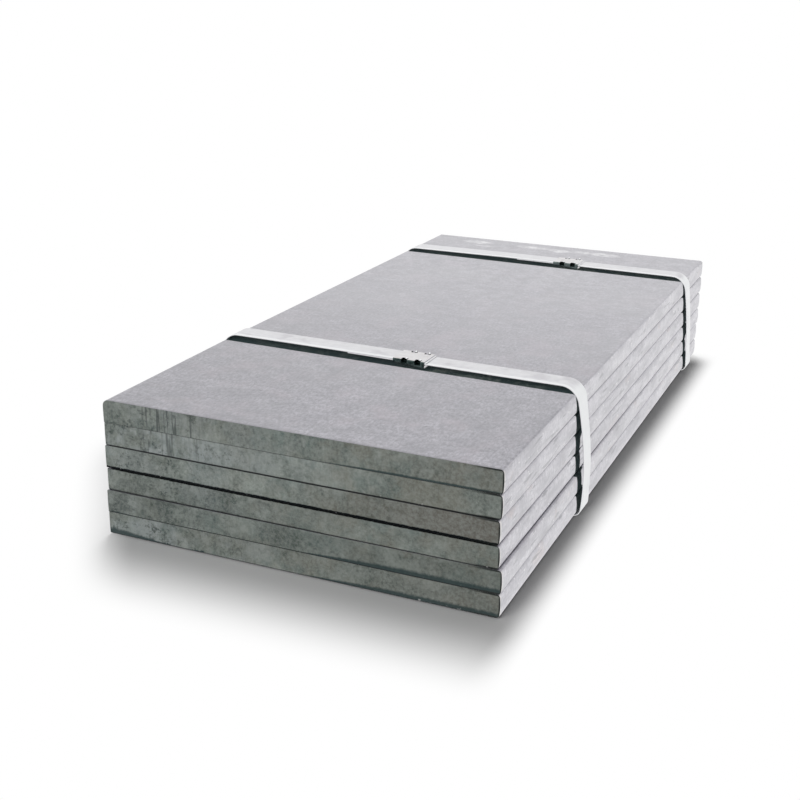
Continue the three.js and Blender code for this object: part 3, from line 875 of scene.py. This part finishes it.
# %% Build the plate tree
def make_plate_tree():
    """The shape rule of a plate, with its sizes as named inputs."""
    recipe, size = new_shape("rolled plate", {
        "Width": PLATE_WIDTH, "Length": PLATE_LENGTH, "Thickness": PLATE_THICKNESS,
        "Right edge radius": EDGE_RADIUS, "Left edge radius": 0.8 * MM,
        "Right edge crown": EDGE_CROWN, "Left edge crown": 0.2 * MM, "End bevel": 0.4 * MM,
        "Side shift": 0, "End shift": 0, "Base level": 0, "Turn": 0, "Front droop": 0,
        "Left trim": 0, "Corner dressing": 0,
        "Unevenness": 0.1 * MM, "Seed": 1})
    cube, (u, w, v) = grid_cube(recipe, PLATE_STEPS)
    shift = recipe.join(size["Seed"] * 7.3, size["Seed"] * 3.1, size["Seed"] * 5.7)
    y, inset = plate_length_run(recipe, size, u, w, v, shift)
    x, z = plate_section(size, u, v, y, inset)

    # Rolling leaves the faces and edges very slightly uneven; one front end may droop.
    even_place = recipe.join(x, y, z) + shift
    wave = recipe.noise(even_place, 9, 2, 0.5) - 0.5
    side_wave = recipe.noise(even_place, 7, 3, 0.5, (0, 1, 0)) - 0.5
    z = z + size["Unevenness"] * wave * v.sign() * abs(v).rise(0.98, 1)
    x = x + 3 * size["Unevenness"] * side_wave * u.sign() * abs(u).rise(0.98, 1)
    x = x + size["Left trim"] * (-u).within(0, 1)
    droop = (y + size["Length"] / 2).rise(DROOP_LENGTH, 0) * (z / size["Thickness"] + 0.5)
    z = z - size["Front droop"] * droop

    # The plate lies askew by a small turn, in radians.
    placed = recipe.join(
        x - size["Turn"] * y + size["Side shift"], y + size["Turn"] * x + size["End shift"],
        z + size["Base level"] + size["Thickness"] / 2)
    mesh = cube
    for name, value in (("across", x), ("plate_number", size["Seed"])):
        mesh = recipe.node(
            "GeometryNodeStoreNamedAttribute", {"data_type": "FLOAT", "domain": "POINT"},
            {"Geometry": mesh, "Name": name, "Value": value})
    moved = recipe.node(
        "GeometryNodeSetPosition", {}, {"Geometry": mesh, "Position": placed})
    finish_shape(recipe, moved, plate_finish)
    return recipe.tree


plate_tree = make_plate_tree()
print("plate tree:", len(plate_tree.nodes), "nodes")


# %% Run a tree and keep its mesh
def bake_modifier(piece, name):
    """What a piece looks like with its modifiers, as a plain mesh."""
    depsgraph = bpy.context.evaluated_depsgraph_get()
    depsgraph.update()
    mesh = bpy.data.meshes.new_from_object(
        piece.evaluated_get(depsgraph), preserve_all_data_layers=True, depsgraph=depsgraph)
    mesh.name = name
    return mesh


def grow(name, tree, sizes, start=None):
    """Run a tree on a new object and keep what it makes as a plain mesh object."""
    seed_object = link(name + "_start", start or bpy.data.meshes.new(name))
    modifier = seed_object.modifiers.new(name, "NODES")
    modifier.node_group = tree
    for item in tree.interface.items_tree:
        if item.in_out == "INPUT" and item.name in sizes:
            modifier[item.identifier] = float(sizes[item.name])
    mesh = bake_modifier(seed_object, name)
    bpy.data.objects.remove(seed_object)
    return link(name, mesh)


def describe(piece):
    print(piece.name, len(piece.data.polygons), "faces,", [
        round(v * 1000, 2) for v in piece.dimensions], "mm")


print("a tree is run on a new object, and only its mesh is kept")

# %% Grow the six plates
# What differs in shape, in millimetres, from the top plate down.
END_BEVELS = (0.5, 0.35, 0.4, 0.5, 0.4, 0.45)
FRONT_DROOPS = (0, 0, 0, 1.2, 0, 0)
LEFT_TRIMS = (0, 0.3, 1.0, 0.6, -2.9, -2.4)
CORNER_DRESSINGS = (5.5, 0, 0, 0, 0, 0)

for index, (low, high) in enumerate(plate_boxes):
    plate = grow(f"steel_plate_{index + 1}", plate_tree, {
        "Side shift": (low[0] + high[0]) / 2, "End shift": (low[1] + high[1]) / 2,
        "Base level": low[2], "Turn": PLATE_SKEWS[index] / PLATE_LENGTH,
        "Seed": index + 1, "End bevel": END_BEVELS[index] * MM,
        "Front droop": FRONT_DROOPS[index] * MM, "Left trim": LEFT_TRIMS[index] * MM,
        "Corner dressing": CORNER_DRESSINGS[index] * MM})
    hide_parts(f"plate_{index + 1}")
    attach(plate, "root")
    describe(plate)

# %% [markdown]
# ## The straps
#
# A strap is cut from a coil, pulled tight round the stack and closed. When the tool lets
# go it springs back a little: it lifts off the top, leans out from the corners and bows
# away down the sides. Its path is a line with arcs at the corners, so it is worked out
# once as a curve. The strap is the rounded-bar rule again, wrapped along that curve, which
# keeps the strip's width and thickness true round each bend.

# %% Work out a strap's path
SIDE_STEPS = 40  # steps of the bow down a side


def arc(centre, radius, start, end, steps=24):
    """Points of an arc in x and z; angles in degrees."""
    points = []
    for step in range(steps + 1):
        angle = math.radians(start + (end - start) * step / steps)
        points.append((
            centre[0] + radius * math.cos(angle), centre[1] + radius * math.sin(angle)))
    return points


def side_run(radius, lift, lean, tuck, top_shift, bottom_shift):
    """Inner face of a strap on the right side, from its top run to its bottom run."""
    corner_round = EDGE_CROWN + EDGE_RADIUS
    reach = radius - EDGE_RADIUS - SEAT_GAP
    fall = radius - EDGE_RADIUS - lift
    bend = (
        PLATE_WIDTH / 2 + top_shift - corner_round - math.sqrt(reach ** 2 - fall ** 2),
        top_level + lift - radius)
    corner = arc(bend, radius, 90, lean)
    foot = (PLATE_WIDTH / 2 + bottom_shift - corner_round, STRAP_THICKNESS + FOOT_RADIUS)
    heel = arc(foot, FOOT_RADIUS, -tuck, -90)
    start, end = Vector(corner[-1]), Vector(heel[0])
    pull = (start.y - end.y) / 3
    first = start + pull * Vector((math.tan(math.radians(lean)), -1))
    second = end + pull * Vector((math.tan(math.radians(tuck)), 1))
    run = []
    for step in range(1, SIDE_STEPS):
        t = step / SIDE_STEPS
        run.append(tuple(
            (1 - t) ** 3 * start + 3 * (1 - t) ** 2 * t * first
            + 3 * (1 - t) * t ** 2 * second + t ** 3 * end))
    return corner + run + heel


def strap_path(strap):
    """Inner face of a whole strap: from its lower end round to its upper end."""
    top_shift, bottom_shift = [
        (plate_boxes[i][0][0] + plate_boxes[i][1][0]) / 2 - stack_shift.x
        - PLATE_SKEWS[i] * strap["middle"] / PLATE_LENGTH for i in (0, -1)]
    upper = strap["lift"] + STRAP_THICKNESS + SEAT_GAP
    right_side = side_run(
        strap["radius"], strap["lift"], strap["lean"], strap["tuck"], top_shift, bottom_shift)
    left_side = side_run(
        strap["radius"], upper - strap["drop"], LEFT_LEAN, LEFT_TUCK, -top_shift,
        -bottom_shift)
    left_side = [(-x, z) for x, z in reversed(left_side)]
    tail_end = strap["seal"] - SEAL_LENGTH / 2 - TAIL_LENGTH
    lap_end = strap["seal"] + SEAL_LENGTH / 2 + LAP_REACH
    return [
        (tail_end, top_level + strap["lift"]), *right_side, *left_side,
        (tail_end - STRAP_WIDTH / 2, top_level + upper), (lap_end, top_level + upper)]


def path_line(name, points):
    """A chain of edges through points in x and z, at y = 0."""
    line = bpy.data.meshes.new(name)
    line.from_pydata(
        [(x, 0, z) for x, z in points], [(i, i + 1) for i in range(len(points) - 1)], [])
    return line


for name, strap in STRAPS.items():
    points = strap_path(strap)
    length = sum(math.dist(a, b) for a, b in zip(points, points[1:]))
    print(name, "strap:", len(points), "path points,", round(length * 1000), "mm long")

# %% Build the strap tree
STRAP_STEPS = (16, 560, 10)  # across, along and through


def make_strap_tree():
    """The shape rule of a strap: a rounded bar wrapped along the path it is given."""
    recipe, size = new_shape("strap round a stack", {
        "Width": STRAP_WIDTH, "Thickness": STRAP_THICKNESS, "Edge radius": 0.35 * MM,
        "Skew": 0, "Slant": 0, "Middle": 0, "Shift x": 0, "Twist": 1.2 * MM,
        "Waviness": 0.5 * MM, "Seed": 1})
    cube, (u, w, v) = grid_cube(recipe, STRAP_STEPS)
    half_steps = [n // 2 for n in STRAP_STEPS]
    radius = size["Edge radius"]
    across, through = rounded_section(
        u, v, (half_steps[0], half_steps[2]), size["Width"] / 2,
        size["Thickness"] / 2, (radius, radius), 0, 0.2 * MM)

    path = recipe.node("GeometryNodeMeshToCurve", {}, {0: size["Geometry"]})
    sample = recipe.node(
        "GeometryNodeSampleCurve", {"mode": "FACTOR"},
        {"Curves": path, "Factor": (w + 1) / 2}, output="Position")
    tangent = Wire(recipe, sample.socket.node.outputs["Tangent"])
    x, _, z = sample.parts()
    tangent_x, _, tangent_z = tangent.parts()

    # The strip is a little wavy, sways from side to side, and slants down its right side.
    along = recipe.join(w * 0.6 + size["Seed"] * 4.7, u * 0.03, 0)
    wave = (recipe.noise(along, 14, 3, 0.5) - 0.5) * size["Waviness"]
    sway = (recipe.noise(along + recipe.join(9, 0, 0), 5, 2, 0.5) - 0.5) * (
        2 * size["Waviness"])
    height = through + size["Thickness"] / 2 + wave
    placed_x, placed_z = x - tangent_z * height, z + tangent_x * height
    slant = size["Slant"] * slant_share(placed_x, placed_z)

    # Down the sides the strap is twisted a little: its far edge lies closer to the plates.
    side = placed_z.rise(top_level, top_level - 40 * MM) * placed_z.rise(6 * MM, 30 * MM)
    placed_x = placed_x - placed_x.sign() * side * size["Twist"] * (
        0.5 - across / size["Width"])
    placed_y = sway - across + size["Middle"] - size["Skew"] * placed_x + slant
    placed = recipe.join(placed_x + size["Shift x"], placed_y, placed_z)
    moved = recipe.node("GeometryNodeSetPosition", {}, {"Geometry": cube, "Position": placed})
    finish_shape(recipe, moved, strap_finish)
    return recipe.tree


strap_tree = make_strap_tree()
print("strap tree:", len(strap_tree.nodes), "nodes")

# %% [markdown]
# ## The notches
#
# The closing tool bites two notches into each edge of the sleeve, through the sleeve and
# both strap ends, and turns the cut metal up as a tab. The notch is a tapered block taken
# away from each piece by a Boolean, so that every layer is cut at the same place.

# %% Draw a solid from outlines
def new_piece(name, build, *details):
    """A mesh object whose mesh a function draws into a bmesh."""
    mesh = bpy.data.meshes.new(name)
    work = bmesh.new()
    build(work, *details)
    bmesh.ops.recalc_face_normals(work, faces=work.faces)
    work.to_mesh(mesh)
    work.free()
    return link(name, mesh)


def loft(work, outlines):
    """Join outlines that lie one behind another into a closed solid."""
    rings = [[work.verts.new(point) for point in outline] for outline in outlines]
    for first, second in zip(rings, rings[1:]):
        for i in range(len(first)):
            j = (i + 1) % len(first)
            work.faces.new((first[i], first[j], second[j], second[i]))
    work.faces.new(rings[0][::-1])
    work.faces.new(rings[-1])


def on_stack(strap, x, y):
    """Set a point of a strap's own frame where the strap crosses the stack."""
    return x + stack_shift.x, y + strap["middle"] + stack_shift.y - strap["skew"] * x


print("a solid is drawn as a few outlines that are joined")

# %% Make the notch cutter
NEAR_BITE, FAR_BITE = 0.9 * MM, 5 * MM  # how far under the strap the notches reach
CUTTER_MARGIN, CUTTER_RISE = 3 * MM, 8 * MM  # how far it reaches past and above the sleeve


def build_cutter(work, strap):
    """Four tapered blocks, two at each edge of the sleeve."""
    edge = STRAP_WIDTH / 2 + SEAL_CLEARANCE + SEAL_THICKNESS
    outside, inside = edge + CUTTER_MARGIN, edge - NOTCH_DEPTH
    half = NOTCH_LENGTH / 2
    level = top_level + strap["lift"]
    for side, bite in ((-1, NEAR_BITE), (1, FAR_BITE)):
        for end in (-1, 1):
            middle = strap["seal"] + NOTCH_SHIFT + end * NOTCH_PITCH / 2
            plan = [on_stack(strap, x, side * y) for x, y in (
                (middle - half, outside), (middle + half, outside),
                (middle + half - NOTCH_TAPER, inside),
                (middle - half + NOTCH_TAPER, inside))]
            loft(work, [
                [(x, y, z) for x, y in plan] for z in (level - bite, level + CUTTER_RISE)])


print("a notch is", NOTCH_LENGTH, "long and", NOTCH_DEPTH, "deep")

# %% Cut and clean a piece
CORNER_ANGLE = math.radians(35)  # past this angle between two faces, a corner is sharp


def combine(piece, other, operation):
    """Cut away or add another piece with a Boolean, and keep the result as the mesh."""
    modifier = piece.modifiers.new("boolean", "BOOLEAN")
    modifier.operation = operation
    modifier.solver = "MANIFOLD"
    modifier.object = other
    mesh = bake_modifier(piece, piece.name)
    piece.modifiers.remove(modifier)
    piece.data = mesh
    bpy.data.objects.remove(other)


def clean(piece, finish):
    """Put one finish on all faces, as a Boolean adds an empty one, and smooth them."""
    mesh = piece.data
    mesh.materials.clear()
    mesh.materials.append(finish)
    mesh.polygons.foreach_set("material_index", [0] * len(mesh.polygons))
    mesh.polygons.foreach_set("use_smooth", [True] * len(mesh.polygons))
    mesh.set_sharp_from_angle(angle=CORNER_ANGLE)


print("corners are sharp past", round(math.degrees(CORNER_ANGLE)), "degrees")

# %% Grow the straps and notch them
for number, (name, strap) in enumerate(STRAPS.items()):
    line = path_line(f"path_{name}", strap_path(strap))
    piece = grow(f"zinc_strap_{name}", strap_tree, {
        "Skew": strap["skew"], "Slant": strap["slant"],
        "Middle": strap["middle"] + stack_shift.y, "Shift x": stack_shift.x,
        "Seed": number + 1}, start=line)
    combine(piece, new_piece("cutter", build_cutter, strap), "DIFFERENCE")
    clean(piece, strap_finish)
    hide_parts(f"strap_{name}")
    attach(piece, "root")
    piece.visible_glossy = False
    describe(piece)

# %% [markdown]
# ## The seals
#
# A seal is a short piece of sheet folded round both strap ends, with its flanges turned
# under them. It is drawn as the outline of its section, repeated along its length, and
# each repeat can differ a little: the near wall was pulled deeper towards one end when the
# tool let go. Then the notches are cut, and the turned-up tabs are added.

# %% Draw the section of folded sheet
FOLD_RADIUS = 0.6 * MM
FLANGE_LENGTH = 13 * MM
TOP_STEPS, FOLD_STEPS = 12, 5  # steps across the sleeve's top and round a fold


def sleeve_section(deepen, press):
    """Inner face of the sleeve from the near flange round to the far one, as y and z."""
    half = STRAP_WIDTH / 2 + SEAL_CLEARANCE
    low, high = -SEAL_CLEARANCE, 2 * STRAP_THICKNESS + SEAT_GAP + SEAL_CLEARANCE - press
    near_low = low - deepen
    r = FOLD_RADIUS

    def fold(y, z, start):
        return arc((y, z), r, start, start - 90, FOLD_STEPS)

    points = [(FLANGE_LENGTH - half, near_low)]
    points += fold(r - half, near_low + r, 270) + fold(r - half, high - r, 180)
    points += [(r - half + 2 * (half - r) * t / TOP_STEPS, high) for t in range(1, TOP_STEPS)]
    points += fold(half - r, high - r, 90) + fold(half - r, low + r, 0)
    points.append((half - FLANGE_LENGTH, low))
    return points


def thicken(points, thickness):
    """Close an outline: the points, then the same line a thickness to their left."""
    other = []
    for i, point in enumerate(points):
        before, after = points[max(i - 1, 0)], points[min(i + 1, len(points) - 1)]
        along = (Vector(after) - Vector(before)).normalized()
        other.append((point[0] - along.y * thickness, point[1] + along.x * thickness))
    return points + other[::-1]


print("the sheet is", round(1000 * FOLD_RADIUS, 2), "mm round on the inside of a fold")

# %% Draw the sleeve and its tabs
SLEEVE_STEPS = 38  # steps along the sleeve
WALL_PULL = 3.2 * MM  # how far the near wall is pulled down at the sleeve's right end
TOP_PRESS = 0.2 * MM  # how far the top is pressed down there
LIP_TRIM = 1.5 * MM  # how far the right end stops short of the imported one
CRUMPLE = 0.3 * MM
TAB_ANGLES = {-1: 46, 1: 58}  # the left and the right tab of each edge, in degrees
TAB_ROUNDING, TAB_TIP = 0.8 * MM, 2 * MM  # a tab's bend and the straight tip past it
TAB_STEPS = 3


def build_sleeve(work, strap):
    """Loft the sleeve's section along the strap, slightly crumpled."""
    outlines = []
    for step in range(SLEEVE_STEPS + 1):
        t = step / SLEEVE_STEPS
        x = strap["seal"] + (t - 0.5) * SEAL_LENGTH - LIP_TRIM * t
        outline = []
        section = sleeve_section(WALL_PULL * t ** 1.3, TOP_PRESS * t ** 6)
        for y, z in thicken(section, SEAL_THICKNESS):
            crumple = CRUMPLE * (1 - t ** 6) * noise.noise(
                Vector((x * 180, y * 120, strap["middle"] * 9)))
            outline.append((*on_stack(strap, x, y), top_level + strap["lift"] + z + crumple))
        outlines.append(outline)
    loft(work, outlines)


def build_tabs(work, strap):
    """The tabs that the tool turned up at one end of each notch."""
    level = top_level + strap["lift"] + 2 * STRAP_THICKNESS + SEAT_GAP + SEAL_CLEARANCE
    flat_edge = STRAP_WIDTH / 2 + SEAL_CLEARANCE - FOLD_RADIUS
    width = NOTCH_DEPTH - SEAL_THICKNESS - FOLD_RADIUS
    outer = TAB_ROUNDING + SEAL_THICKNESS
    across = [flat_edge - width * step / TAB_STEPS for step in range(TAB_STEPS + 1)]
    for end, degrees in TAB_ANGLES.items():
        angle = math.radians(degrees)
        turned = arc((0, outer), outer, -90, -90 - degrees, FOLD_STEPS)
        tip = (turned[-1][0] - TAB_TIP * math.cos(angle),
               turned[-1][1] + TAB_TIP * math.sin(angle))
        outline = thicken([tip, *turned[::-1], (SEAL_THICKNESS, 0)], SEAL_THICKNESS)
        root = strap["seal"] + NOTCH_SHIFT + (end * NOTCH_PITCH + NOTCH_LENGTH) / 2
        for side in (-1, 1):
            loft(work, [
                [(*on_stack(strap, root + dx, side * y), level + dz) for dx, dz in outline]
                for y in across])


print("each seal has", 2 * len(TAB_ANGLES), "tabs")

# %% Fold the seals
for name, strap in STRAPS.items():
    piece = new_piece(f"crimped_seal_{name}", build_sleeve, strap)
    combine(piece, new_piece("cutter", build_cutter, strap), "DIFFERENCE")
    combine(piece, new_piece("tabs", build_tabs, strap), "UNION")
    clean(piece, seal_finish)
    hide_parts(f"seal_{name}")
    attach(piece, "root")
    piece.visible_glossy = False
    describe(piece)

# %% [markdown]
# ## Floor
#
# The floor is plain and pale. Close to the stack it is a matt surface that shows the
# stack's shadow. Further out it turns into plain white for the camera and for reflections,
# so no horizon shows. A flat disc is enough for that, and its edge is far out of view.

# %% Say what sees white
def is_seen(recipe):
    """What sees white: the camera, and what the camera sees in a mirror or through glass."""
    camera_ray, glossy, through, soft_bounces = [
        recipe.node("ShaderNodeLightPath", output=name) for name in (
            "Is Camera Ray", "Is Glossy Ray", "Is Transmission Ray", "Diffuse Depth")]
    reflected = glossy.most(through) * (1 - soft_bounces).within(0, 1)
    return camera_ray, reflected


print("the camera and clear reflections of the room see white")

# %% Lay the floor
FLOOR_REACH, FLOOR_CORNERS = 6, 64
FLOOR_GREY = (0.9, 0.9, 0.9, 1)
WHITE = (1, 1, 1, 1)


def build_floor(work):
    angles = [math.tau * i / FLOOR_CORNERS for i in range(FLOOR_CORNERS)]
    work.faces.new([work.verts.new((
        FLOOR_REACH * math.cos(angle), FLOOR_REACH * math.sin(angle), 0)) for angle in angles])


def make_floor_finish():
    material = bpy.data.materials.new("floor")
    material.use_nodes = True
    material.node_tree.nodes.clear()
    recipe = Recipe(material.node_tree)
    x, y, _ = recipe.node("ShaderNodeTexCoord", output="Object").parts()
    past_right, past_left = x - PLATE_WIDTH / 2, -x - PLATE_WIDTH / 2
    past_rear, past_front = y - PLATE_LENGTH / 2, -y - PLATE_LENGTH / 2
    past_corner = 0.81 * past_left + 0.58 * past_front  # out from the front left corner
    fades = (  # how far past the stack, where the fade to white starts, where it ends
        (past_right, 0.004, 0.042), (past_corner, -0.023, 0.047), (past_left, 0.12, 0.2),
        (past_rear, -0.06, 0.02), (past_front, 0.01, 0.145))
    shaded = 1
    for distance, start, end in fades:
        shaded = distance.rise(end, start) * shaded
    camera_ray, reflected = is_seen(recipe)
    whiten = (camera_ray * (1 - shaded)).most(reflected)
    matt = recipe.node("ShaderNodeBsdfDiffuse", {}, {"Color": FLOOR_GREY})
    white = recipe.node("ShaderNodeEmission", {}, {"Color": WHITE, "Strength": 1})
    recipe.node(
        "ShaderNodeOutputMaterial", {}, {"Surface": mix_shaders(recipe, whiten, matt, white)})
    return material


floor = new_piece("floor", build_floor)
floor.data.materials.append(make_floor_finish())
if floor.data.polygons[0].normal.z < 0:
    floor.data.flip_normals()
print("floor reaches", FLOOR_REACH, "m")

# %% [markdown]
# ## Light
#
# The light is that of a plain studio. A large soft lamp hangs over the far end and gives
# most of it. A weaker one stands in front and lights the cut ends, and the room adds a
# little from all sides. Together they are set so that a colour on top of the stack renders
# about as it is written. Bare metal shows mostly what it mirrors, which is the white room.

# %% Hang the lamps
def add_softbox(name, place, aim, size, power):
    data = bpy.data.lights.new(name, "AREA")
    data.shape = "RECTANGLE"
    data.size, data.size_y = size
    data.energy = power
    lamp = link(name, data)
    lamp.location = place
    direction = Vector(aim) - Vector(place)
    lamp.rotation_euler = direction.to_track_quat("-Z", "Y").to_euler()
    lamp.visible_glossy = False
    return lamp


add_softbox(
    "overhead", place=(-0.5, 1.1, 1.8), aim=(0, 0, 0.1), size=(1.1, 1.1), power=30)
add_softbox(
    "front", place=(-0.2, -2.3, 1.2), aim=(0, -0.3, 0.1), size=(1.4, 1.0), power=17)

# %% Light the room
ROOM_LIGHT = 0.2

world = bpy.data.worlds.new("studio")
bpy.context.scene.world = world
world.use_nodes = True
world.node_tree.nodes.clear()
recipe = Recipe(world.node_tree)
room, backdrop = [
    recipe.node("ShaderNodeBackground", {}, {"Color": WHITE, "Strength": strength})
    for strength in (ROOM_LIGHT, 1)]
camera_ray, reflected = is_seen(recipe)
recipe.node("ShaderNodeOutputWorld", {}, {
    "Surface": mix_shaders(recipe, camera_ray.most(reflected), room, backdrop)})
bpy.context.scene.view_settings.view_transform = "Standard"
print("room light:", ROOM_LIGHT)
